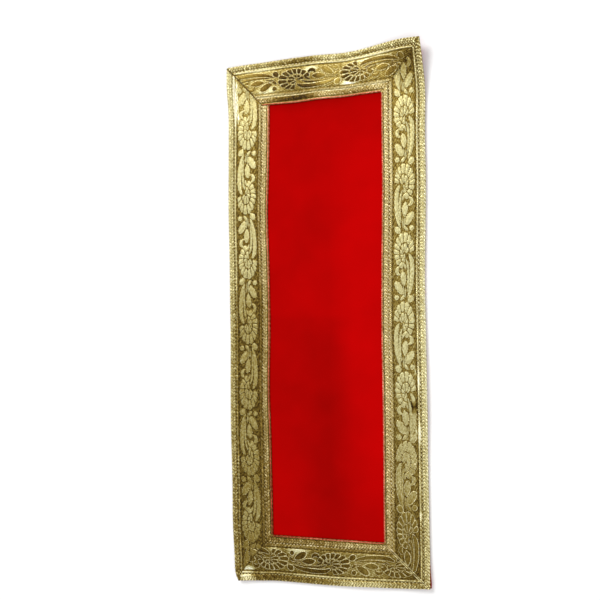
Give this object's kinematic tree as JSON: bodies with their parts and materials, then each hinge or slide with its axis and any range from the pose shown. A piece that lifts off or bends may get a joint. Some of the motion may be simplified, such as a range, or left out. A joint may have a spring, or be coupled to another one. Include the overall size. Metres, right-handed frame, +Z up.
{
  "type": "altar cloth",
  "caption": "Narrow rectangular altar cloth of red velvet with a wide gold brocade ribbon sewn flat round its edge, laid out with one corner curled up.",
  "frame": {"origin": "on the surface the cloth lies on, under the middle of its bounding box", "axes": "+X across the cloth, +Y along it towards the far end, +Z up out of its face"},
  "size_m": [0.1694, 0.4236, 0.0128],
  "materials": {
    "red_velvet": "short dense pile, matt",
    "gold_brocade": "woven metallic thread, soft glitter"
  },
  "bodies": {
    "root": {"cloth_panel": "red_velvet", "ribbon_left": "gold_brocade", "ribbon_bottom": "gold_brocade", "ribbon_right": "gold_brocade", "ribbon_top": "gold_brocade"}
  },
  "joints": []
}
